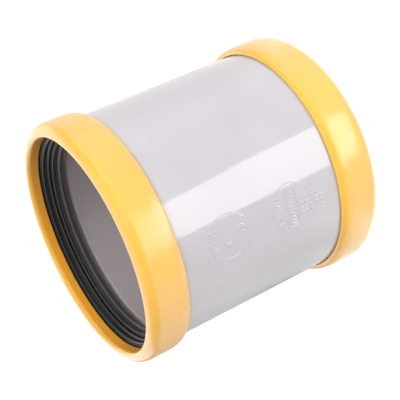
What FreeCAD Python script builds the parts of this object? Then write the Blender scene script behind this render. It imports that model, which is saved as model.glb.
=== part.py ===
import FreeCAD, Part

import math
import os

# Slip coupling for two plain pipes: a sleeve with no centre stop, a retaining ring clipped over each end
# and a lip seal in each mouth.
# Lengths are millimetres. The axis is +Z and the coupling stands on its lower retaining ring at Z = 0.
# Outlines are drawn for the lower end, where the height above Z = 0 is the depth inwards from the mouth.

# Pipe and sleeve
PIPE_RADIUS = 80.0
PIPE_CLEARANCE = 0.6
SLEEVE_WALL = 4.4
OVERALL_LENGTH = 192.0

# Widened end of the sleeve, which houses the seal
HOUSING_WALL = 3.5
HOUSING_RAMP_LAG = 1.7
HOUSING_RAMP_LENGTH = 3.5
HOUSING_END_CHAMFER = 2.0
SHOULDER_ROUND = 1.4

# Retaining ring
RING_WALL = 2.55
RING_NOSE_WALL = 4.4
RING_NOSE_LENGTH = 8.1
RING_FRONT_FLAT = 0.4
RING_LIP_REACH = 2.1
RING_LIP_LENGTH = 4.2
RING_COLLAR_DEPTH = 9.0
RING_COLLAR_WALL = 3.0
RING_COLLAR_ROUND = 0.5
RING_CHANNEL_ROUND = 2.2
RING_HOOK_LENGTH = 5.35
RING_FLANK_LENGTH = 9.5
RING_HEEL_ROUND = 0.6

# Clearances between the pieces
MOUTH_CLEARANCE = 0.7
SNAP_CLEARANCE = 0.15
HEEL_CLEARANCE = 0.3
END_CLEARANCE = 0.2
SEAL_CLEARANCE = 0.1
SEAL_BACK_CLEARANCE = 1.0

# Seal body
SEAL_BODY_CLEARANCE = 1.0
SEAL_HEAD_THICKNESS = 2.9
SEAL_HEAD_LENGTH = 12.2
SEAL_STEP_THICKNESS = 0.8
SEAL_STEP_LENGTH = 0.8
SEAL_RAMP_LENGTH = 2.5
SEAL_SLEEVE_THICKNESS = 1.1
SEAL_SLEEVE_LENGTH = 6.9
SEAL_ROUND = 0.8

# Seal lips: a bite is how far the free tip stands inside the surface of the pipe
LIP_LAND = 0.4
GROOVE_WIDTH = 0.6
GROOVE_DEPTH = 1.3
WIPER_BITE = 1.8
WIPER_FACE_LENGTH = 1.55
WIPER_FACE_RISE = 1.4
FIRST_LIP_BITE = 2.7
FIRST_LIP_FACE_LENGTH = 3.2
FIRST_LIP_FACE_RISE = 1.5
RIB_BITE = 5.5
RIB_FACE_LENGTH = 1.0
RIB_FACE_RISE = 0.8
TONGUE_BITE = 7.0
TONGUE_FACE_LENGTH = 3.8
TONGUE_FACE_RISE = 1.9
TONGUE_LAND = 1.0
TONGUE_TIP_RISE = 0.9
TONGUE_TIP_OVERHANG = 0.5
TONGUE_BACK_LEAN = 28.0

# Radii, from the bore outwards
BORE_RADIUS = PIPE_RADIUS + PIPE_CLEARANCE
SLEEVE_RADIUS = BORE_RADIUS + SLEEVE_WALL
MOUTH_RADIUS = PIPE_RADIUS + MOUTH_CLEARANCE
SEAL_BODY_RADIUS = PIPE_RADIUS + SEAL_BODY_CLEARANCE
SEAL_HEAD_RADIUS = SEAL_BODY_RADIUS + SEAL_HEAD_THICKNESS
SEAL_STEP_RADIUS = SEAL_BODY_RADIUS + SEAL_STEP_THICKNESS
SEAL_SLEEVE_RADIUS = SEAL_BODY_RADIUS + SEAL_SLEEVE_THICKNESS
CHAMBER_RADIUS = SEAL_HEAD_RADIUS + SEAL_CLEARANCE
SEAT_RADIUS = SEAL_SLEEVE_RADIUS + SEAL_CLEARANCE
HOUSING_RADIUS = CHAMBER_RADIUS + HOUSING_WALL
COLLAR_RADIUS = MOUTH_RADIUS + RING_COLLAR_WALL
SKIRT_RADIUS = HOUSING_RADIUS + SNAP_CLEARANCE
HEEL_RADIUS = SLEEVE_RADIUS + HEEL_CLEARANCE
RING_RADIUS = SKIRT_RADIUS + RING_WALL
RING_LIP_RADIUS = MOUTH_RADIUS + RING_LIP_REACH

# Depths, from the mouth inwards
HOUSING_END_DEPTH = RING_NOSE_WALL + END_CLEARANCE
SEAL_FRONT_DEPTH = RING_COLLAR_DEPTH + SEAL_CLEARANCE
WIPER_DEPTH = SEAL_FRONT_DEPTH + SEAL_STEP_LENGTH
SEAL_RAMP_DEPTH = SEAL_FRONT_DEPTH + SEAL_HEAD_LENGTH
SEAL_SLEEVE_DEPTH = SEAL_RAMP_DEPTH + SEAL_RAMP_LENGTH
SEAL_BACK_DEPTH = SEAL_SLEEVE_DEPTH + SEAL_SLEEVE_LENGTH
SHOULDER_DEPTH = SEAL_BACK_DEPTH + SEAL_BACK_CLEARANCE
HOUSING_RAMP_DEPTH = SEAL_RAMP_DEPTH + HOUSING_RAMP_LAG
HOUSING_FOOT_DEPTH = HOUSING_RAMP_DEPTH + HOUSING_RAMP_LENGTH
HOOK_RAMP_DEPTH = HOUSING_RAMP_DEPTH + SNAP_CLEARANCE
HOOK_DEPTH = HOUSING_FOOT_DEPTH + SNAP_CLEARANCE
RING_WIDTH = HOOK_DEPTH + RING_HOOK_LENGTH


def point(radius, height):
    """Point in the XZ half plane that is turned about the axis."""
    return FreeCAD.Vector(radius, 0, height)


def straight(start, end):
    """Straight edge, or none where two rounds meet with no straight between them."""
    if start.distanceToPoint(end) < 1e-6:
        return []
    return [Part.LineSegment(start, end).toShape()]


def corner_round(before, corner, after, radius):
    """Start, middle and end of the arc of this radius that touches both straights of a corner."""
    to_before = (before - corner).normalize()
    to_after = (after - corner).normalize()
    half_angle = to_before.getAngle(to_after) / 2
    setback = radius / math.tan(half_angle)
    inwards = (to_before + to_after).normalize()
    middle = corner + inwards * (radius / math.sin(half_angle) - radius)
    return corner + to_before * setback, middle, corner + to_after * setback


def path(corners):
    """Edges through (radius, height, round) corners. The first and the last are plain ends."""
    places = [point(radius, height) for radius, height, _ in corners]
    edges = []
    reached = places[0]
    for i in range(1, len(corners) - 1):
        radius = corners[i][2]
        if radius == 0:
            edges += straight(reached, places[i])
            reached = places[i]
            continue
        start, middle, end = corner_round(places[i - 1], places[i], places[i + 1], radius)
        edges += straight(reached, start)
        edges.append(Part.Arc(start, middle, end).toShape())
        reached = end
    return edges + straight(reached, places[-1])


def quarter_ellipse(start, corner, end):
    """Quarter of an ellipse from start to end along the sides of the corner, each as (radius, height)."""
    curve = Part.BezierCurve()
    curve.setPoles([point(*start), point(*corner), point(*end)])
    curve.setWeight(2, math.sqrt(0.5))
    return curve.toShape()


def turned(edges):
    """Solid of revolution about the axis, from the edges of one closed outline."""
    face = Part.Face(Part.Wire(Part.sortEdges(edges)[0]))
    solid = face.revolve(FreeCAD.Vector(0, 0, 0), FreeCAD.Vector(0, 0, 1), 360)
    if solid.Volume < 0:
        solid.reverse()
    return solid


def coupling_body():
    """Grey sleeve: a plain tube whose two ends widen into housings for the seals."""
    housing = [
        (SEAT_RADIUS, SHOULDER_DEPTH, 0),
        (SEAT_RADIUS, SEAL_SLEEVE_DEPTH, 0),
        (CHAMBER_RADIUS, SEAL_RAMP_DEPTH, 0),
        (CHAMBER_RADIUS, HOUSING_END_DEPTH, 0),
        (HOUSING_RADIUS - HOUSING_END_CHAMFER, HOUSING_END_DEPTH, 0),
        (HOUSING_RADIUS, HOUSING_END_DEPTH + HOUSING_END_CHAMFER, 0),
        (HOUSING_RADIUS, HOUSING_RAMP_DEPTH, 0),
        (SLEEVE_RADIUS, HOUSING_FOOT_DEPTH, 0),
    ]
    upper_housing = [(radius, OVERALL_LENGTH - depth, size) for radius, depth, size in reversed(housing)]
    bore = [
        (BORE_RADIUS, OVERALL_LENGTH - SHOULDER_DEPTH, SHOULDER_ROUND),
        (BORE_RADIUS, SHOULDER_DEPTH, SHOULDER_ROUND),
    ]
    return turned(path(housing + upper_housing + bore + housing[:1]))


def retaining_ring():
    """Yellow ring of the lower end: bullnose, collar, channel for the sleeve's end, skirt and snap hook.

    Quarter ellipses make the mouth's flared lip, the nose, and the back that falls to the round of the heel.
    """
    heel_top = (HEEL_RADIUS + RING_HEEL_ROUND, RING_WIDTH)
    collar_top = (MOUTH_RADIUS, RING_LIP_LENGTH)
    flat_start = (RING_LIP_RADIUS, 0)
    flat_end = (RING_LIP_RADIUS + RING_FRONT_FLAT, 0)
    nose_end = (RING_RADIUS, RING_NOSE_LENGTH)
    flank_start = (RING_RADIUS, RING_WIDTH - RING_FLANK_LENGTH)
    inside = path([
        (*heel_top, 0),
        (HEEL_RADIUS, RING_WIDTH, RING_HEEL_ROUND),
        (HEEL_RADIUS, HOOK_DEPTH, 0),
        (SKIRT_RADIUS, HOOK_RAMP_DEPTH, 0),
        (SKIRT_RADIUS, RING_NOSE_WALL, RING_CHANNEL_ROUND),
        (COLLAR_RADIUS, RING_NOSE_WALL, 0),
        (COLLAR_RADIUS, RING_COLLAR_DEPTH, 0),
        (MOUTH_RADIUS, RING_COLLAR_DEPTH, RING_COLLAR_ROUND),
        (*collar_top, 0),
    ])
    outside = [
        quarter_ellipse(collar_top, (MOUTH_RADIUS, 0), flat_start),
        *straight(point(*flat_start), point(*flat_end)),
        quarter_ellipse(flat_end, (RING_RADIUS, 0), nose_end),
        *straight(point(*nose_end), point(*flank_start)),
        quarter_ellipse(flank_start, (RING_RADIUS, RING_WIDTH), heel_top),
    ]
    return turned(inside + outside)


def lip(face_depth, face_length, face_rise, bite):
    """Corners of one lip of the seal: its sloping face, its narrow land and the undercut groove behind it."""
    tip_radius = PIPE_RADIUS - bite
    land_end = face_depth + face_length + LIP_LAND
    return [
        (tip_radius + face_rise, face_depth, 0),
        (tip_radius, face_depth + face_length, 0),
        (tip_radius, land_end, 0),
        (tip_radius + GROOVE_DEPTH, land_end, 0),
        (tip_radius + GROOVE_DEPTH, land_end + GROOVE_WIDTH, 0),
    ]


def tongue(face_depth):
    """Corners of the long tongue behind the lips, as far as the root where its back meets the seal's body."""
    tip_radius = PIPE_RADIUS - TONGUE_BITE
    land_depth = face_depth + TONGUE_FACE_LENGTH
    tip_depth = land_depth + TONGUE_LAND
    back_radius = tip_radius + TONGUE_TIP_RISE
    back_depth = tip_depth + TONGUE_TIP_OVERHANG
    root_depth = back_depth - (SEAL_BODY_RADIUS - back_radius) * math.tan(math.radians(TONGUE_BACK_LEAN))
    return [
        (tip_radius + TONGUE_FACE_RISE, face_depth, 0),
        (tip_radius, land_depth, 0),
        (tip_radius, tip_depth, 0),
        (back_radius, back_depth, 0),
        (SEAL_BODY_RADIUS, root_depth, SEAL_ROUND),
    ]


def seal_ring():
    """Black seal of the lower end: wiper, first lip, rib and tongue, on a body that fills the housing.

    Its front steps back from the collar at the wiper's foot.
    """
    front = [
        (SEAL_HEAD_RADIUS, SEAL_FRONT_DEPTH, 0),
        (SEAL_STEP_RADIUS, SEAL_FRONT_DEPTH, 0),
        (SEAL_STEP_RADIUS, WIPER_DEPTH, 0),
    ]
    wiper = lip(WIPER_DEPTH, WIPER_FACE_LENGTH, WIPER_FACE_RISE, WIPER_BITE)
    first_lip = lip(wiper[-1][1], FIRST_LIP_FACE_LENGTH, FIRST_LIP_FACE_RISE, FIRST_LIP_BITE)
    rib = lip(first_lip[-1][1], RIB_FACE_LENGTH, RIB_FACE_RISE, RIB_BITE)
    back = [
        (SEAL_BODY_RADIUS, SEAL_BACK_DEPTH, SEAL_ROUND),
        (SEAL_SLEEVE_RADIUS, SEAL_BACK_DEPTH, 0),
        (SEAL_SLEEVE_RADIUS, SEAL_SLEEVE_DEPTH, 0),
        (SEAL_HEAD_RADIUS, SEAL_RAMP_DEPTH, 0),
    ]
    return turned(path(front + wiper + first_lip + rib + tongue(rib[-1][1]) + back + front[:1]))


def at_top(shape):
    """The lower end's piece, turned end for end onto the upper end."""
    return shape.rotated(FreeCAD.Vector(0, 0, OVERALL_LENGTH / 2), FreeCAD.Vector(1, 0, 0), 180)


def main():
    os.makedirs("parts", exist_ok=True)
    ring = retaining_ring()
    seal = seal_ring()
    pieces = {
        "coupling_body": coupling_body(),
        "retaining_ring_bottom": ring,
        "retaining_ring_top": at_top(ring),
        "seal_ring_bottom": seal,
        "seal_ring_top": at_top(seal),
    }
    for name, shape in pieces.items():
        shape.exportStep(f"parts/{name}.step")


main()
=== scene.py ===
import math

import bpy
import numpy as np
from mathutils import Matrix, Vector


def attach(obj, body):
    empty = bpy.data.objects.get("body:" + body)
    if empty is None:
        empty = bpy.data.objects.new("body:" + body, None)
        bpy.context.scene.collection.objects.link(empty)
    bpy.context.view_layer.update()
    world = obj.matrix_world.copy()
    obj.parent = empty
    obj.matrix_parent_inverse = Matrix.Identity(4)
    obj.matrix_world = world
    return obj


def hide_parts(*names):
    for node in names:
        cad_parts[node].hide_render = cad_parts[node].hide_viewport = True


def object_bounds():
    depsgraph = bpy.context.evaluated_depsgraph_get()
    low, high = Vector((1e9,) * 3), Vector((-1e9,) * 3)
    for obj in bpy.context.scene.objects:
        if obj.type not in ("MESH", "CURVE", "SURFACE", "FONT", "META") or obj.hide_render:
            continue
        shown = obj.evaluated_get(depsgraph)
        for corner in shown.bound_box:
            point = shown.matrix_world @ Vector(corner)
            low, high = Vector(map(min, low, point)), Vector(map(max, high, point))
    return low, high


# A PVC slip coupling: a grey sleeve, with a yellow retaining ring and a black lip seal at each end

# Outlines are millimetres, as (radius, depth inwards from the mouth). The meshes are metres.
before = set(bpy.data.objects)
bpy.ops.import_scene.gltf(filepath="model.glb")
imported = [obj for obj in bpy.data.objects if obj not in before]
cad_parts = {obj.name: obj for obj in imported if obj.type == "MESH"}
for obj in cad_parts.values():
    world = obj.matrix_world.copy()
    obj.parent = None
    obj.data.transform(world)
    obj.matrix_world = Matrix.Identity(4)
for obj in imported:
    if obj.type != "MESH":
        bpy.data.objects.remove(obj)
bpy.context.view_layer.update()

MM = 0.001
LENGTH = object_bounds()[1].z / MM
BODY = "root"

# Radii
SLEEVE_RADIUS = 85.0
BORE_RADIUS = 80.6
HOUSING_RADIUS = 87.5
CHAMBER_RADIUS = 84.0
SEAT_RADIUS = 82.2
MOUTH_RADIUS = 80.7
COLLAR_RADIUS = 83.7
SKIRT_RADIUS = 87.65
HEEL_RADIUS = 85.3
RING_RADIUS = 90.2
SEAL_HEAD_RADIUS = 83.9
SEAL_SLEEVE_RADIUS = 82.1
SEAL_BODY_RADIUS = 81.0
SEAL_STEP_RADIUS = 81.8
BORE_ROUND = 1.4
HOUSING_CHAMFER = 2.0

# Depths
NOSE_WALL = 4.4
HOUSING_END = 4.6
COLLAR_DEPTH = 9.0
SEAL_FRONT = 9.1
SEAL_HEAD_END = 21.3
SEAL_SLEEVE_START = 23.8
HOUSING_RAMP = 23.0
HOUSING_FOOT = 26.5
HOOK_RAMP = 23.15
HOOK = 26.65
SEAL_BACK = 30.7
SHOULDER = 31.7
RING_WIDTH = 32.0

# The ring's lip, nose and back are quarter ellipses
LIP_REACH = 2.1
LIP_LENGTH = 4.2
NOSE_REACH = 7.0
NOSE_LENGTH = 8.1
FLANK_LENGTH = 9.5
HEEL_ROUND = 0.6

# Seal lips: depth where the sloping face starts and ends, and its radius at the start and at the free tip
LIPS = [
    (9.9, 11.45, 79.6, 78.2),
    (12.45, 15.65, 78.8, 77.3),
    (16.65, 17.65, 75.3, 74.5),
]
LIP_LAND = 0.2
GROOVE_WIDTH = 0.8
GROOVE_DEPTH = 1.5
HOLLOW_DEPTH = 0.68
HOLLOW_REACH = 0.28

# Long tongue, as (radius, depth) where its face starts, at its tip and at its back edge
TONGUE_START = (74.9, 18.65)
TONGUE_TIP = (73.0, 22.45)
TONGUE_LAND = 1.0
TONGUE_BACK = (73.9, 23.95)
TONGUE_POCKET = 20.2

# Where the rubber is painted greyer: a painted highlight along the tongue's edge and painted light behind the
# tongue
TONGUE_EDGE = 73.6
TONGUE_ROOT = 75.6
LIT_BAND_DEPTH = 23.6
LIT_BAND_FADE = 2.0

# Mesh fineness
FACETS = 400
ARC_POINTS = 7
HOLD = 0.25
HOLD_SHARE = 0.3
DOUBLE = 1e-6
ELLIPSE_POINTS = 22
SLEEVE_STEP = 5.0


def unit(vectors):
    """Each row divided by its own length."""
    return vectors / np.linalg.norm(vectors, axis=-1, keepdims=True)


def rounded(corners, closed=True, arc_points=ARC_POINTS):
    """Outline through (radius, depth, round) corners; an open one starts and ends on its plain end corners.

    At each corner the arc that touches both straights is swept from the first touching point to the second:
    centre + (sin((1 - t) a) * first spoke + sin(t a) * second spoke) / sin(a), with a the angle between them.
    A point close to each end of a straight keeps the shading of the straight flat.
    """
    table = np.array(corners, float)
    corner, size = table[:, :2], table[:, 2:]
    to_before = unit(np.roll(corner, 1, 0) - corner)
    to_after = unit(np.roll(corner, -1, 0) - corner)
    half = np.arccos(np.clip((to_before * to_after).sum(1, keepdims=True), -1, 1)) / 2
    centre = corner + unit(to_before + to_after) * size / np.sin(half)
    first = corner + to_before * size / np.tan(half) - centre
    second = corner + to_after * size / np.tan(half) - centre
    sweep = math.pi - 2 * half
    t = np.linspace(0, 1, arc_points)[None, :, None]
    arc = (
        np.sin((1 - t) * sweep[:, None]) * first[:, None] + np.sin(t * sweep[:, None]) * second[:, None]
    ) / np.sin(sweep)[:, None] + centre[:, None]
    leave = arc[:, -1].copy()
    arrive = np.roll(arc[:, 0], -1, 0)
    if not closed:
        leave[0], arrive[-2] = corner[0], corner[-1]
    run = np.linalg.norm(arrive - leave, axis=1, keepdims=True)
    share = np.minimum(HOLD / np.maximum(run, HOLD), HOLD_SHARE)
    holds = np.stack([leave + (arrive - leave) * share, arrive - (arrive - leave) * share], axis=1)
    stretches = np.concatenate([arc, holds], axis=1)
    if closed:
        return stretches.reshape(-1, 2)
    return np.vstack([corner[:1], holds[0], stretches[1:-1].reshape(-1, 2), corner[-1:]])


def quarter_ellipse(centre, first_spoke, last_spoke):
    """Points centre + cos(t) * first spoke + sin(t) * last spoke, for t from 0 to a quarter turn."""
    t = np.linspace(0, math.pi / 2, ELLIPSE_POINTS)[:, None]
    return np.array(centre) + np.cos(t) * first_spoke + np.sin(t) * last_spoke


def spaced(outline, longest):
    """The closed outline with evenly spaced points added where a straight is longer than that."""
    loop = np.vstack([outline, outline[:1]])
    length = np.linalg.norm(np.diff(loop, axis=0), axis=1)
    along = np.concatenate([[0], np.cumsum(length)])
    extra = np.arange(longest / 2, along[-1], longest)
    piece = np.searchsorted(along, extra) - 1
    stations = np.sort(np.concatenate([along[:-1], extra[length[piece] > longest]]))
    return np.stack([np.interp(stations, along, loop[:, k]) for k in (0, 1)], axis=1)


def without_doubles(outline):
    """The closed outline without the points that lie on the one before them."""
    return outline[np.linalg.norm(outline - np.roll(outline, 1, 0), axis=1) > DOUBLE]


def make_piece(name, vertices, faces, material, slot):
    """Mesh in metres from vertices in millimetres, shaded smooth, that rides on the coupling."""
    mesh = bpy.data.meshes.new(name)
    mesh.from_pydata((vertices * MM).tolist(), [], faces.tolist())
    mesh.polygons.foreach_set("use_smooth", np.ones(len(mesh.polygons), bool))
    mesh.materials.append(material)
    mesh.update()
    piece = bpy.data.objects.new(name, mesh)
    bpy.context.scene.collection.objects.link(piece)
    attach(piece, BODY)
    return piece


def grid_faces(rows, columns):
    """Quads of a grid that closes on itself both ways, as indices into its rows of vertices."""
    row, column = np.meshgrid(np.arange(rows), np.arange(columns), indexing="ij")
    next_row, next_column = (row + 1) % rows, (column + 1) % columns
    quads = [row * columns + column, row * columns + next_column,
             next_row * columns + next_column, next_row * columns + column]
    return np.stack(quads, axis=-1).reshape(-1, 4)


def turned(outline):
    """Surface of revolution: (r cos a, r sin a, z) for each outline point (r, z) and each angle a.

    The outline is put anticlockwise first, so that faces point outwards.
    """
    radius, height = without_doubles(outline).T
    if np.sum(radius * np.roll(height, -1) - np.roll(radius, -1) * height) < 0:
        radius, height = radius[::-1], height[::-1]
    angle = np.arange(FACETS) * 2 * math.pi / FACETS
    r, a = np.meshgrid(radius, angle, indexing="ij")
    z = np.repeat(height[:, None], FACETS, axis=1)
    vertices = np.stack([r * np.cos(a), r * np.sin(a), z], axis=-1).reshape(-1, 3)
    return vertices, grid_faces(len(radius), FACETS)


def at_top(outline):
    """The lower end's outline, turned end for end onto the upper end: z becomes the length less z."""
    return outline * [1, -1] + [0, LENGTH]


# Finishes: darkest and lightest colour of a cloudy surface, or one colour, in linear light
GREY = ((0.524, 0.496, 0.529), (0.554, 0.526, 0.559))
# Painted shade: the bore's darker grey, with a warmer tone
SHADED_BORE_GREY = (0.455, 0.412, 0.423)
YELLOW = ((0.91, 0.512, 0.031), (0.93, 0.540, 0.041))
# Painted shade: deeper orange on the collar's inner wall
SHADED_COLLAR_YELLOW = (0.90, 0.402, 0.024)
YELLOW_GLOSS = (0.70, 0.50, 1.0, 1)
BLACK = ((0.005, 0.005, 0.006), (0.011, 0.011, 0.012))
# Painted highlight along the tongue's edge
TONGUE_HIGHLIGHT_GREY = (0.046, 0.043, 0.046)
# Painted light behind the tongue, where the tongue's shadow falls
PAINTED_LIGHT_GREY = (0.230, 0.210, 0.223)

# Roughness, smoothest and dullest
GREY_ROUGHNESS = (0.07, 0.13)
YELLOW_ROUGHNESS = (0.25, 0.31)
BLACK_ROUGHNESS = (0.34, 0.46)

# Heights of the fine relief, in metres
ORANGE_PEEL = 0.00001
TURNED_LINES = 0.00002


def add(tree, kind, **settings):
    """A new node of that kind, with its settings."""
    node = tree.nodes.new(kind)
    for key, value in settings.items():
        setattr(node, key, value)
    return node


def material_nodes(name):
    """A new material with its node tree and its Principled shader."""
    material = bpy.data.materials.new(name)
    material.use_nodes = True
    return material, material.node_tree, material.node_tree.nodes["Principled BSDF"]


def noise(tree, coordinates, scale, detail):
    """Noise texture on the given coordinates; scale is in features per metre."""
    texture = add(tree, "ShaderNodeTexNoise")
    texture.inputs["Scale"].default_value = scale
    texture.inputs["Detail"].default_value = detail
    tree.links.new(coordinates, texture.inputs["Vector"])
    return texture.outputs["Fac"]


def spread(tree, value, low, high, from_low=0.3, from_high=0.7):
    """The value mapped from its usual range onto low to high."""
    mapped = add(tree, "ShaderNodeMapRange")
    mapped.inputs["From Min"].default_value = from_low
    mapped.inputs["From Max"].default_value = from_high
    mapped.inputs["To Min"].default_value = low
    mapped.inputs["To Max"].default_value = high
    tree.links.new(value, mapped.inputs["Value"])
    return mapped.outputs["Result"]


def tint(tree, value, first, second):
    """Colour that goes from the first to the second as the value goes from 0 to 1."""
    mix = add(tree, "ShaderNodeMix", data_type="RGBA")
    mix.inputs["A"].default_value = (*first, 1)
    mix.inputs["B"].default_value = (*second, 1)
    tree.links.new(value, mix.inputs["Factor"])
    return mix.outputs["Result"]


def layer(tree, value, below, shade):
    """The colour below, with the shade over it where the value is 1."""
    mix = add(tree, "ShaderNodeMix", data_type="RGBA")
    mix.inputs["B"].default_value = (*shade, 1)
    tree.links.new(value, mix.inputs["Factor"])
    tree.links.new(below, mix.inputs["A"])
    return mix.outputs["Result"]


def relief_bump(tree, shader, height, distance):
    """Bump from a height of 0 to 1 that stands for that many metres."""
    bump = add(tree, "ShaderNodeBump")
    bump.inputs["Strength"].default_value = 1.0
    bump.inputs["Distance"].default_value = distance
    tree.links.new(height, bump.inputs["Height"])
    tree.links.new(bump.outputs["Normal"], shader.inputs["Normal"])


def distance_from_axis(tree, place):
    """Distance of a point from the bore's axis, and its height, as two outputs."""
    split = add(tree, "ShaderNodeSeparateXYZ")
    tree.links.new(place, split.inputs["Vector"])
    flat = add(tree, "ShaderNodeCombineXYZ")
    tree.links.new(split.outputs["X"], flat.inputs["X"])
    tree.links.new(split.outputs["Y"], flat.inputs["Y"])
    reach = add(tree, "ShaderNodeVectorMath", operation="LENGTH")
    tree.links.new(flat.outputs["Vector"], reach.inputs[0])
    return reach.outputs["Value"], split.outputs["Z"]


def grey_pvc():
    """Moulded light-grey PVC: faint flow clouds, a high gloss and a fine orange peel; darker in the bore as
    painted shade, and warmer in tone there.
    """
    material, tree, shader = material_nodes("grey_pvc")
    place = add(tree, "ShaderNodeTexCoord").outputs["Object"]
    clouds = spread(tree, noise(tree, place, scale=22, detail=3), 0, 1)
    colour = tint(tree, clouds, *GREY)
    reach = distance_from_axis(tree, place)[0]
    # painted shade: the grey turns darker and warmer inside the bore
    inside = spread(tree, reach, 1, 0, BORE_RADIUS * MM, SEAT_RADIUS * MM)
    tree.links.new(layer(tree, inside, colour, SHADED_BORE_GREY), shader.inputs["Base Color"])
    scuffs = noise(tree, place, scale=140, detail=4)
    tree.links.new(spread(tree, scuffs, *GREY_ROUGHNESS), shader.inputs["Roughness"])
    shader.inputs["IOR"].default_value = 1.53
    relief_bump(tree, shader, noise(tree, place, scale=260, detail=1), ORANGE_PEEL)
    return material


def yellow_plastic():
    """Warm yellow moulded plastic: slightly cloudy, with a soft gloss, painted deeper orange inside the mouth
    as painted shade.
    """
    material, tree, shader = material_nodes("yellow_plastic")
    place = add(tree, "ShaderNodeTexCoord").outputs["Object"]
    clouds = spread(tree, noise(tree, place, scale=30, detail=3), 0, 1)
    colour = tint(tree, clouds, *YELLOW)
    reach = distance_from_axis(tree, place)[0]
    # painted shade: the yellow turns deeper orange on the mouth's inner wall
    inside = spread(tree, reach, 1, 0, MOUTH_RADIUS * MM, (MOUTH_RADIUS + LIP_REACH / 3) * MM)
    tree.links.new(layer(tree, inside, colour, SHADED_COLLAR_YELLOW), shader.inputs["Base Color"])
    scuffs = noise(tree, place, scale=70, detail=1)
    tree.links.new(spread(tree, scuffs, *YELLOW_ROUGHNESS), shader.inputs["Roughness"])
    shader.inputs["IOR"].default_value = 1.5
    shader.inputs["Specular IOR Level"].default_value = 1.0
    shader.inputs["Specular Tint"].default_value = YELLOW_GLOSS
    return material


def black_rubber():
    """Black rubber with a thin film of grease: turned lines from the mould and uneven gloss.

    It is painted greyer along the long tongue's edge, a painted highlight, and lighter behind the tongue,
    painted light where the tongue's shadow falls.
    """
    material, tree, shader = material_nodes("black_rubber")
    place = add(tree, "ShaderNodeTexCoord").outputs["Object"]
    reach, height = distance_from_axis(tree, place)
    section = add(tree, "ShaderNodeCombineXYZ")
    tree.links.new(reach, section.inputs["X"])
    tree.links.new(height, section.inputs["Y"])
    turning = noise(tree, section.outputs["Vector"], scale=1500, detail=2)
    grease = noise(tree, place, scale=90, detail=3)
    colour = tint(tree, grease, *BLACK)
    from_middle = add(tree, "ShaderNodeMath", operation="SUBTRACT")
    from_middle.inputs[1].default_value = LENGTH / 2 * MM
    tree.links.new(height, from_middle.inputs[0])
    inwards = add(tree, "ShaderNodeMath", operation="ABSOLUTE")
    tree.links.new(from_middle.outputs[0], inwards.inputs[0])
    # painted highlight: the rubber is painted greyer towards the tongue's edge
    tongue_highlight = spread(tree, reach, 1, 0, TONGUE_EDGE * MM, TONGUE_ROOT * MM)
    colour = layer(tree, tongue_highlight, colour, TONGUE_HIGHLIGHT_GREY)
    # painted light: lighter grey behind the tongue, where the tongue's own shadow falls
    lit_band_end = LENGTH / 2 - LIT_BAND_DEPTH
    lit_band = spread(tree, inwards.outputs[0], 1, 0, (lit_band_end - LIT_BAND_FADE) * MM, lit_band_end * MM)
    tree.links.new(layer(tree, lit_band, colour, PAINTED_LIGHT_GREY), shader.inputs["Base Color"])
    tree.links.new(spread(tree, grease, *BLACK_ROUGHNESS), shader.inputs["Roughness"])
    shader.inputs["IOR"].default_value = 1.5
    shader.inputs["Specular IOR Level"].default_value = 0.3
    relief_bump(tree, shader, turning, TURNED_LINES)
    return material


# Pieces

def sleeve_outline():
    """Grey sleeve: a plain tube whose two ends widen into housings for the seals."""
    housing = [
        (SEAT_RADIUS, SHOULDER, 0.2),
        (SEAT_RADIUS, SEAL_SLEEVE_START, 0.5),
        (CHAMBER_RADIUS, SEAL_HEAD_END, 0.5),
        (CHAMBER_RADIUS, HOUSING_END, 0.2),
        (HOUSING_RADIUS - HOUSING_CHAMFER, HOUSING_END, 0.3),
        (HOUSING_RADIUS, HOUSING_END + HOUSING_CHAMFER, 0.3),
        (HOUSING_RADIUS, HOUSING_RAMP, 0.6),
        (SLEEVE_RADIUS, HOUSING_FOOT, 0.8),
    ]
    upper = [(radius, LENGTH - depth, size) for radius, depth, size in reversed(housing)]
    bore = [(BORE_RADIUS, LENGTH - SHOULDER, BORE_ROUND), (BORE_RADIUS, SHOULDER, BORE_ROUND)]
    return spaced(rounded(housing + upper + bore), SLEEVE_STEP)


def ring_outline():
    """Yellow ring: bullnose, collar, channel for the sleeve's end, skirt and snap hook."""
    inside = rounded([
        (HEEL_RADIUS + HEEL_ROUND, RING_WIDTH, 0),
        (HEEL_RADIUS, RING_WIDTH, HEEL_ROUND),
        (HEEL_RADIUS, HOOK, 0.3),
        (SKIRT_RADIUS, HOOK_RAMP, 0.3),
        (SKIRT_RADIUS, NOSE_WALL, 2.2),
        (COLLAR_RADIUS, NOSE_WALL, 0.3),
        (COLLAR_RADIUS, COLLAR_DEPTH, 0.3),
        (MOUTH_RADIUS, COLLAR_DEPTH, 0.5),
        (MOUTH_RADIUS, LIP_LENGTH, 0),
    ], closed=False, arc_points=12)
    lip = quarter_ellipse((MOUTH_RADIUS + LIP_REACH, LIP_LENGTH), (-LIP_REACH, 0), (0, -LIP_LENGTH))
    nose = quarter_ellipse((RING_RADIUS - NOSE_REACH, NOSE_LENGTH), (0, -NOSE_LENGTH), (NOSE_REACH, 0))
    flank_reach = RING_RADIUS - HEEL_RADIUS - HEEL_ROUND
    flank_start = (HEEL_RADIUS + HEEL_ROUND, RING_WIDTH - FLANK_LENGTH)
    flank = quarter_ellipse(flank_start, (flank_reach, 0), (0, FLANK_LENGTH))
    return np.vstack([inside, lip[1:], nose, flank[:-1]])


def hollow(start_radius, start_depth, tip_radius, tip_depth):
    """Middle corner of a lip's hollow face: start + share * (tip - start), for radius and for depth."""
    radius = start_radius + HOLLOW_REACH * (tip_radius - start_radius)
    return radius, start_depth + HOLLOW_DEPTH * (tip_depth - start_depth)


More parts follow.
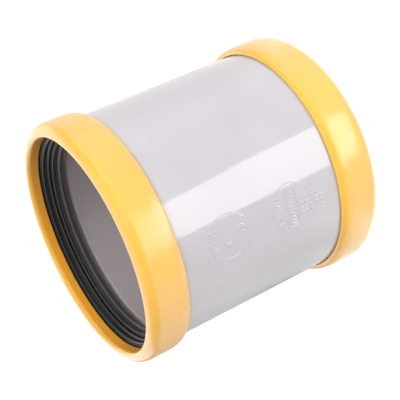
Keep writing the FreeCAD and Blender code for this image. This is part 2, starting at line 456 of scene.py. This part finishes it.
def seal_outline():
    """Black seal: wiper, first lip, thin rib and long tongue, on a body that fills the housing."""
    corners = [
        (SEAL_HEAD_RADIUS, SEAL_FRONT, 0.4),
        (SEAL_STEP_RADIUS, SEAL_FRONT, 0.2),
        (SEAL_STEP_RADIUS, LIPS[0][0], 0.2),
    ]
    for face_start, face_end, start_radius, tip_radius in LIPS:
        land_end = face_end + LIP_LAND
        corners += [
            (start_radius, face_start, 0.2),
            (*hollow(start_radius, face_start, tip_radius, face_end), 0.6),
            (tip_radius, face_end, 0.12),
            (tip_radius, land_end, 0.05),
            (tip_radius + GROOVE_DEPTH, land_end, 0.2),
            (tip_radius + GROOVE_DEPTH, land_end + GROOVE_WIDTH, 0.2),
        ]
    corners += [
        (*TONGUE_START, 0.2),
        (*hollow(*TONGUE_START, *TONGUE_TIP), 1.0),
        (*TONGUE_TIP, 0.3),
        (TONGUE_TIP[0], TONGUE_TIP[1] + TONGUE_LAND, 0.35),
        (*TONGUE_BACK, 0.3),
        (SEAL_BODY_RADIUS, TONGUE_POCKET, 0.8),
        (SEAL_BODY_RADIUS, SEAL_BACK, 0.5),
        (SEAL_SLEEVE_RADIUS, SEAL_BACK, 0.3),
        (SEAL_SLEEVE_RADIUS, SEAL_SLEEVE_START, 0.5),
        (SEAL_HEAD_RADIUS, SEAL_HEAD_END, 0.5),
    ]
    return rounded(corners, arc_points=5)


# Moulded marks: plain rings, bars and dots that stand up from two round inserts on the sleeve's outside

# A place on an insert is (across, along): millimetres round the sleeve and up it, from the insert's centre.
INSERT_RADIUS = 16.0
RIDGE_WIDTH = 1.3
RIDGE_ROOT = 0.4
RIDGE_SINK = 0.03
LOOP_HEIGHT = 0.32
BAR_HEIGHT = 0.55
SECTION_POINTS = 16
BORDER_POINTS = 160
OUTLINE_POINTS = 48
DOME_RINGS = 7
SQUARENESS = 0.45

# Direction of an insert's centre in degrees from -X towards -Y, and its height
UPPER_INSERT = (66.5, 122.5)
LOWER_INSERT = (67.0, 71.0)


def triangles(quads):
    """Each quad as two triangles."""
    return np.vstack([quads[:, [0, 1, 2]], quads[:, [0, 2, 3]]])


def ridge_section(height):
    """Closed section of a ridge, as (sideways, up), with sideways x from -1/2 to 1/2.

    The top is (height + sink) * cos(pi x) ** 2, and below the sleeve's surface it is half an ellipse.
    """
    turn = np.arange(SECTION_POINTS) * 2 * math.pi / SECTION_POINTS
    sideways = np.cos(turn) / 2
    hump = (height + RIDGE_SINK) * np.cos(math.pi * sideways) ** 2
    return sideways, np.where(np.sin(turn) > 0, hump, RIDGE_ROOT * np.sin(turn))


def raised_loop(across, along, size, sides=0, share=0.8):
    """Ridge round a closed outline: at angle a its distance from the centre is size for a circle.

    For a polygon it is size * (1 - share + share * cos(pi / n) / cos(a mod (2 pi / n) - pi / n)).
    """
    count = OUTLINE_POINTS if sides else BORDER_POINTS
    angle = np.arange(count) * 2 * math.pi / count
    distance = np.full(count, size)
    if sides:
        corner = math.pi / sides
        polygon = math.cos(corner) / np.cos(np.mod(angle, 2 * corner) - corner)
        distance = size * (1 - share + share * polygon)
    middle = np.stack([across + distance * np.cos(angle), along + distance * np.sin(angle)], axis=1)
    ahead = unit(np.roll(middle, -1, 0) - np.roll(middle, 1, 0))
    sideways = np.stack([-ahead[:, 1], ahead[:, 0]], axis=1)
    offset, height = ridge_section(LOOP_HEIGHT)
    place = middle[:, None] + RIDGE_WIDTH * offset[None, :, None] * sideways[:, None]
    up = np.broadcast_to(height[None, :, None] - RIDGE_SINK, (count, SECTION_POINTS, 1))
    points = np.concatenate([place, up], axis=2)
    return points.reshape(-1, 3), triangles(grid_faces(count, SECTION_POINTS))


def raised_bar(across, along, length, turn=0.0, width=RIDGE_WIDTH):
    """Small pillow: cos(u) ** q along its length and sin(u) ** q times a ridge's section across it.

    Both ends are closed. A turn of 0 lies along the sleeve; the turn is in degrees.
    """
    u = np.arange(1, DOME_RINGS + 1) * math.pi / (DOME_RINGS + 1)
    offset, height = ridge_section(BAR_HEIGHT)
    lengthwise = np.sign(np.cos(u)) * np.abs(np.cos(u)) ** SQUARENESS * length / 2
    fullness = np.sin(u) ** SQUARENESS
    rings = np.stack([
        np.outer(fullness, offset * width),
        np.repeat(lengthwise[:, None], SECTION_POINTS, axis=1),
        np.outer(fullness, height) - RIDGE_SINK,
    ], axis=2).reshape(-1, 3)
    points = np.vstack([rings, [[0, length / 2, -RIDGE_SINK], [0, -length / 2, -RIDGE_SINK]]])
    c, s = math.cos(math.radians(turn)), math.sin(math.radians(turn))
    points[:, :2] = points[:, :2] @ np.array([[c, s], [-s, c]]) + [across, along]
    inner = grid_faces(DOME_RINGS, SECTION_POINTS)[:(DOME_RINGS - 1) * SECTION_POINTS]
    column = np.arange(SECTION_POINTS)
    next_column = (column + 1) % SECTION_POINTS
    first, last = len(rings), len(rings) + 1
    foot = (DOME_RINGS - 1) * SECTION_POINTS
    caps = [np.stack([np.full_like(column, first), next_column, column], axis=1),
            np.stack([np.full_like(column, last), foot + column, foot + next_column], axis=1)]
    return points, np.vstack([triangles(inner), *caps])


def on_sleeve(centre, points):
    """Points (across, along, up) of an insert, laid on the sleeve of radius R.

    They go to (-(R + up) cos a, -(R + up) sin a, height + along), and a is the direction + across / R.
    """
    direction, height = centre
    angle = math.radians(direction) + points[:, 0] / SLEEVE_RADIUS
    reach = SLEEVE_RADIUS + points[:, 2]
    return np.stack([-reach * np.cos(angle), -reach * np.sin(angle), height + points[:, 1]], axis=1)


def row_of_bars(start, along, pitch, count, length, turn=0.0, width=RIDGE_WIDTH):
    """Equal bars in a row round the sleeve, each a pitch further on than the one before."""
    return [raised_bar(start + pitch * k, along, length, turn, width) for k in range(count)]


def upper_insert_marks():
    """Round border, a row of leaning bars, an arrow and two small squares with a dot in each."""
    marks = [raised_loop(0, 0, INSERT_RADIUS)]
    marks += [raised_loop(-2.5, 1.5, 3.6, sides=3), raised_bar(-7.5, 1.5, 3.4, turn=90)]
    marks += row_of_bars(-12.5, 12.0, pitch=2.5, count=9, length=4.6, turn=12)
    for across in (2.0, -12.0):
        marks += [raised_loop(across, -10.5, 2.7, sides=4), raised_bar(across, -10.5, 1.4, width=2.0)]
    return marks


def lower_insert_marks():
    """Round border with an arrow, a long scale between two lines and four rows of short bars.

    Below the border are three dots and another row of bars.
    """
    marks = [raised_loop(0, 0, INSERT_RADIUS), raised_loop(-8.5, 10.5, 3.4, sides=3)]
    marks += [raised_bar(-1.0, side, 29.0, turn=90) for side in (-4.2, 4.2)]
    marks += [raised_bar(-13.5 + 2.5 * k, 0, 5.0 if k % 5 == 0 else 3.4) for k in range(11)]
    marks += row_of_bars(0.5, 10.5, pitch=2.5, count=4, length=3.0, turn=-15)
    for along in (-8.0, -11.4, -15.4):
        marks += row_of_bars(-8.5, along, pitch=3.6, count=4, length=2.2)
    marks += row_of_bars(-5.0, -20.5, pitch=3.0, count=3, length=1.8, width=1.8)
    marks += row_of_bars(-11.5, -24.5, pitch=3.2, count=4, length=2.6, turn=20)
    return marks


def build_marks(grey):
    """All the raised marks as one piece."""
    vertices, faces, count = [], [], 0
    for centre, marks in ((UPPER_INSERT, upper_insert_marks()), (LOWER_INSERT, lower_insert_marks())):
        for points, corners in marks:
            vertices.append(on_sleeve(centre, points))
            faces.append(corners + count)
            count += len(points)
    make_piece("moulded_marks", np.vstack(vertices), np.vstack(faces), grey, "grey_pvc")


def build_coupling():
    """The five pieces of the coupling, each standing for its solid, and the marks on the sleeve."""
    grey, yellow, black = grey_pvc(), yellow_plastic(), black_rubber()
    sleeve = make_piece("sleeve", *turned(sleeve_outline()), grey, "grey_pvc")
    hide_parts("coupling_body")
    for end, place in (("bottom", lambda outline: outline), ("top", at_top)):
        ring = make_piece(f"clip_ring_{end}", *turned(place(ring_outline())), yellow, "yellow_ring")
        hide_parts(f"retaining_ring_{end}")
        seal = make_piece(f"lip_seal_{end}", *turned(place(seal_outline())), black, "black_rubber")
        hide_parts(f"seal_ring_{end}")
    build_marks(grey)


# Stage, in metres: outlines of level sheets, corners of upright ones, and how bright each one glows
FLOOR_HALF = 6.0
FLOOR_GREY = (0.8, 0.8, 0.8, 1)
FLOOR_GLOW = 0.20
FLOOR_GLOW_TO_CAMERA = 0.45
WORLD_LIGHT = 0.45
WHITE = (1, 1, 1, 1)
SHEET_GAP = 0.0004
TABLE_GLOW = 2.6
STRIP_GLOW = 7.2
SIDE_GLOW = 4.0
BACK_GLOW = 2.5
TOP_GLOW = 2.6
TOP_HEIGHT = 2.4
BOUNCE_GLOW = 0.80
FOOT_GLOW = 1.15
LIGHT_STRIP = [
    (-0.029, -0.103), (0.013, -0.103), (0.024, -0.149), (0.043, -0.269), (0.039, -0.436), (0.030, -0.650),
    (-0.325, -0.615)]
BOUNCE_CARD = [(-0.10, -0.12), (0.14, -0.12), (0.22, -0.42), (-0.42, -0.42), (-0.48, 0.05), (-0.12, 0.00)]
FOOT_CARD_ARC = (32, 135)
FOOT_CARD_RADII = (0.097, 0.155)
FOOT_CARD_POINTS = 12
SIDE_PANEL = [(0.95, -2.3, 0.25), (2.4, 0.2, 0.25), (2.4, 0.2, 0.65), (0.95, -2.3, 0.65)]
BACK_PANEL = [(-2.0, 1.6, 0.15), (2.0, 1.6, 0.15), (2.0, 1.6, 2.4), (-2.0, 1.6, 2.4)]
TOP_PANEL = [(-1.6, 1.6), (1.6, 1.6), (1.6, -0.9), (-1.6, -0.9)]
TABLE_HALF = 3.0

# Shades of the light table as (direction, grey), near the coupling and far from it; the darker greys beside
# and behind the coupling and near its foot are painted shadow of the coupling, seen only in reflections
NEAR_TABLE = 0.10
NEAR_SHADES = [
    (-180, 0.12), (-145, 0.12), (-131, 0.15), (-120, 0.32), (-110, 0.42), (-91, 0.63), (-80, 0.65),
    (-72, 0.82), (-56, 1.12), (-45, 0.95), (45, 0.88), (65, 0.95), (78, 0.72), (88, 0.57), (112, 0.52),
    (135, 0.36), (180, 0.20)]
FAR_TABLE = 0.34
FAR_SHADES = [
    (-180, 0.28), (-145, 0.28), (-132, 0.36), (-120, 0.50), (-108, 0.72), (-95, 0.82), (-72, 1.0),
    (-45, 0.88), (45, 0.88), (65, 1.0), (85, 0.85), (102, 0.66), (115, 0.60), (130, 0.53), (150, 0.45),
    (180, 0.33)]

# Lamps: name, place, side of the square and power
LAMPS = [
    ("key_lamp", (0.45, -2.60, 0.45), 0.8, 6.6),
    ("upper_side_lamp", (1.10, -1.10, 1.40), 0.8, 12.5),
    ("lower_side_lamp", (-1.40, -1.40, 0.32), 0.5, 1.5),
    ("mouth_lamp", (0.20, -1.35, 1.10), 0.5, 9.0),
    ("back_lamp", (-0.30, 2.60, 0.35), 0.6, 20.0),
]


def seen_directly(tree):
    """1 for rays from the camera, from a reflection or through a clear surface, else 0."""
    path = add(tree, "ShaderNodeLightPath")
    total = path.outputs["Is Camera Ray"]
    for other in ("Is Glossy Ray", "Is Transmission Ray"):
        highest = add(tree, "ShaderNodeMath", operation="MAXIMUM")
        tree.links.new(total, highest.inputs[0])
        tree.links.new(path.outputs[other], highest.inputs[1])
        total = highest.outputs[0]
    return total


def build_floor():
    """Pale floor that reads white where nothing shades it."""
    material = bpy.data.materials.new("pale_floor")
    material.use_nodes = True
    tree = material.node_tree
    tree.nodes.clear()
    output = add(tree, "ShaderNodeOutputMaterial")
    paint = add(tree, "ShaderNodeBsdfDiffuse")
    paint.inputs["Color"].default_value = FLOOR_GREY
    lift = add(tree, "ShaderNodeEmission")
    path = add(tree, "ShaderNodeLightPath")
    strength = add(tree, "ShaderNodeMath", operation="MULTIPLY_ADD")
    strength.inputs[1].default_value = FLOOR_GLOW_TO_CAMERA
    strength.inputs[2].default_value = FLOOR_GLOW
    tree.links.new(path.outputs["Is Camera Ray"], strength.inputs[0])
    tree.links.new(strength.outputs[0], lift.inputs["Strength"])
    both = add(tree, "ShaderNodeAddShader")
    tree.links.new(paint.outputs[0], both.inputs[0])
    tree.links.new(lift.outputs[0], both.inputs[1])
    choose = add(tree, "ShaderNodeMixShader")
    tree.links.new(seen_directly(tree), choose.inputs["Fac"])
    tree.links.new(paint.outputs[0], choose.inputs[1])
    tree.links.new(both.outputs[0], choose.inputs[2])
    tree.links.new(choose.outputs[0], output.inputs["Surface"])
    half = FLOOR_HALF
    mesh = bpy.data.meshes.new("floor")
    mesh.from_pydata([(-half, -half, 0), (half, -half, 0), (half, half, 0), (-half, half, 0)], [], [range(4)])
    mesh.materials.append(material)
    floor = bpy.data.objects.new("floor", mesh)
    bpy.context.scene.collection.objects.link(floor)


def glowing_sheet(name, corners, strength, rays, shade=None):
    """Glowing sheet that only those rays see; the shade is a function that makes the nodes of its colour.

    It isn't sampled as a lamp, so that all the lamp samples go to the lamps.
    """
    material = bpy.data.materials.new(name)
    material.cycles.emission_sampling = "NONE"
    material.use_nodes = True
    tree = material.node_tree
    tree.nodes.clear()
    glow = add(tree, "ShaderNodeEmission")
    glow.inputs["Color"].default_value = WHITE
    glow.inputs["Strength"].default_value = strength
    output = add(tree, "ShaderNodeOutputMaterial")
    tree.links.new(glow.outputs[0], output.inputs["Surface"])
    if shade:
        tree.links.new(shade(tree), glow.inputs["Color"])
    mesh = bpy.data.meshes.new(name)
    mesh.from_pydata(corners, [], [range(len(corners))])
    mesh.materials.append(material)
    sheet = bpy.data.objects.new(name, mesh)
    bpy.context.scene.collection.objects.link(sheet)
    for ray in ("camera", "diffuse", "glossy", "shadow", "transmission"):
        setattr(sheet, f"visible_{ray}", ray in rays)


def table_shade(tree):
    """Grey set by the direction from the coupling, with one list of stops near it and another far from it;
    the darker greys are painted shadow, seen only in reflections.

    The direction goes from -180 degrees behind the coupling, through -X, 0 in front and +X, to 180.
    """
    place = add(tree, "ShaderNodeTexCoord")
    split = add(tree, "ShaderNodeSeparateXYZ")
    tree.links.new(place.outputs["Object"], split.inputs["Vector"])
    ahead = add(tree, "ShaderNodeMath", operation="MULTIPLY")
    ahead.inputs[1].default_value = -1
    tree.links.new(split.outputs["Y"], ahead.inputs[0])
    direction = add(tree, "ShaderNodeMath", operation="ARCTAN2")
    tree.links.new(split.outputs["X"], direction.inputs[0])
    tree.links.new(ahead.outputs[0], direction.inputs[1])
    share = add(tree, "ShaderNodeMapRange")
    share.inputs["From Min"].default_value = -math.pi
    share.inputs["From Max"].default_value = math.pi
    tree.links.new(direction.outputs[0], share.inputs["Value"])
    away = add(tree, "ShaderNodeVectorMath", operation="LENGTH")
    tree.links.new(place.outputs["Object"], away.inputs[0])
    blend = add(tree, "ShaderNodeMapRange", interpolation_type="SMOOTHSTEP")
    blend.inputs["From Min"].default_value = NEAR_TABLE
    blend.inputs["From Max"].default_value = FAR_TABLE
    tree.links.new(away.outputs["Value"], blend.inputs["Value"])
    mix = add(tree, "ShaderNodeMix", data_type="RGBA")
    tree.links.new(blend.outputs["Result"], mix.inputs["Factor"])
    for socket, shades in (("A", NEAR_SHADES), ("B", FAR_SHADES)):
        ramp = add(tree, "ShaderNodeValToRGB")
        ramp.color_ramp.interpolation = "EASE"
        stops = ramp.color_ramp.elements
        while len(stops) < len(shades):
            stops.new(0.5)
        for stop, (angle, shade) in zip(stops, shades):
            stop.position = angle / 360 + 0.5
            stop.color = (shade, shade, shade, 1)
        tree.links.new(share.outputs["Result"], ramp.inputs["Fac"])
        tree.links.new(ramp.outputs["Color"], mix.inputs[socket])
    return mix.outputs["Result"]


def foot_card_outline():
    """Band round the front of the coupling's foot: (-r cos a, -r sin a) at two radii r."""
    angle = np.radians(np.linspace(*FOOT_CARD_ARC, FOOT_CARD_POINTS))
    arc = np.stack([-np.cos(angle), -np.sin(angle)], axis=1)
    return np.vstack([arc * FOOT_CARD_RADII[0], arc[::-1] * FOOT_CARD_RADII[1]]).tolist()


def level_sheet(outline, height):
    """Corners of a level sheet."""
    return [(x, y, height) for x, y in outline]


def build_light_table():
    """Light table, strip and panels that only the gloss reflects, and two cards that throw light back."""
    half = TABLE_HALF
    table = [(-half, -half), (half, -half), (half, half), (-half, half)]
    glowing_sheet("light_table", level_sheet(table, SHEET_GAP), TABLE_GLOW, ["glossy"], table_shade)
    glowing_sheet("light_strip", level_sheet(LIGHT_STRIP, 2 * SHEET_GAP), STRIP_GLOW, ["glossy"])
    glowing_sheet("side_panel", SIDE_PANEL, SIDE_GLOW, ["glossy"])
    glowing_sheet("back_panel", BACK_PANEL, BACK_GLOW, ["glossy"])
    glowing_sheet("top_panel", level_sheet(TOP_PANEL, TOP_HEIGHT), TOP_GLOW, ["glossy"])
    glowing_sheet("bounce_card", level_sheet(BOUNCE_CARD, 3 * SHEET_GAP), BOUNCE_GLOW, ["diffuse"])
    glowing_sheet("foot_card", level_sheet(foot_card_outline(), 4 * SHEET_GAP), FOOT_GLOW, ["diffuse"])


def soft_lamp(name, place, size, power):
    """Square area lamp that looks at the middle of the coupling and leaves no glint of its own."""
    data = bpy.data.lights.new(name, "AREA")
    data.shape = "SQUARE"
    data.size = size
    data.energy = power
    lamp = bpy.data.objects.new(name, data)
    lamp.location = place
    lamp.visible_glossy = False
    towards = Vector((0, 0, LENGTH * MM / 2)) - Vector(place)
    lamp.rotation_euler = towards.to_track_quat("-Z", "Y").to_euler()
    bpy.context.scene.collection.objects.link(lamp)


def build_world():
    """Even pale surroundings, white to the camera."""
    world = bpy.data.worlds.new("surroundings")
    bpy.context.scene.world = world
    world.use_nodes = True
    tree = world.node_tree
    tree.nodes.clear()
    output = add(tree, "ShaderNodeOutputWorld")
    light = add(tree, "ShaderNodeBackground")
    light.inputs["Color"].default_value = WHITE
    light.inputs["Strength"].default_value = WORLD_LIGHT
    white = add(tree, "ShaderNodeBackground")
    white.inputs["Color"].default_value = WHITE
    choose = add(tree, "ShaderNodeMixShader")
    tree.links.new(seen_directly(tree), choose.inputs["Fac"])
    tree.links.new(light.outputs[0], choose.inputs[1])
    tree.links.new(white.outputs[0], choose.inputs[2])
    tree.links.new(choose.outputs[0], output.inputs["Surface"])


# Camera: it was fitted to the outlines of the sleeve, the rings and the mouth
CAMERA_ELEVATION = math.radians(24.23)
CAMERA_ROLL = math.radians(-114.81)
CAMERA_DISTANCE = 0.77223
FOCAL_PIXELS = 1056.475
PICTURE_PIXELS = 400
SENSOR = 36.0
COUPLING_CENTRE_PIXEL = (197.436, 194.994)


def build_camera():
    """Camera that looks along +Y, down by its elevation, and is rolled so that the mouth comes lower left."""
    level_up = Vector((0, math.sin(CAMERA_ELEVATION), math.cos(CAMERA_ELEVATION)))
    back = Vector((0, -math.cos(CAMERA_ELEVATION), math.sin(CAMERA_ELEVATION)))
    right = Vector((1, 0, 0)) * math.cos(CAMERA_ROLL) + level_up * math.sin(CAMERA_ROLL)
    up = back.cross(right)
    across = (COUPLING_CENTRE_PIXEL[0] - PICTURE_PIXELS / 2) / FOCAL_PIXELS
    down = (COUPLING_CENTRE_PIXEL[1] - PICTURE_PIXELS / 2) / FOCAL_PIXELS
    centre = Vector((0, 0, LENGTH * MM / 2))
    data = bpy.data.cameras.new("camera")
    data.sensor_width = SENSOR
    data.lens = FOCAL_PIXELS / PICTURE_PIXELS * SENSOR
    camera = bpy.data.objects.new("camera", data)
    turn = Matrix((right, up, back)).transposed()
    place = centre + CAMERA_DISTANCE * (back - right * across + up * down)
    camera.matrix_world = Matrix.Translation(place) @ turn.to_4x4()
    bpy.context.scene.collection.objects.link(camera)
    bpy.context.scene.camera = camera


build_coupling()
build_floor()
build_light_table()
for lamp in LAMPS:
    soft_lamp(*lamp)
build_world()
build_camera()
bpy.context.scene.view_settings.view_transform = "Standard"
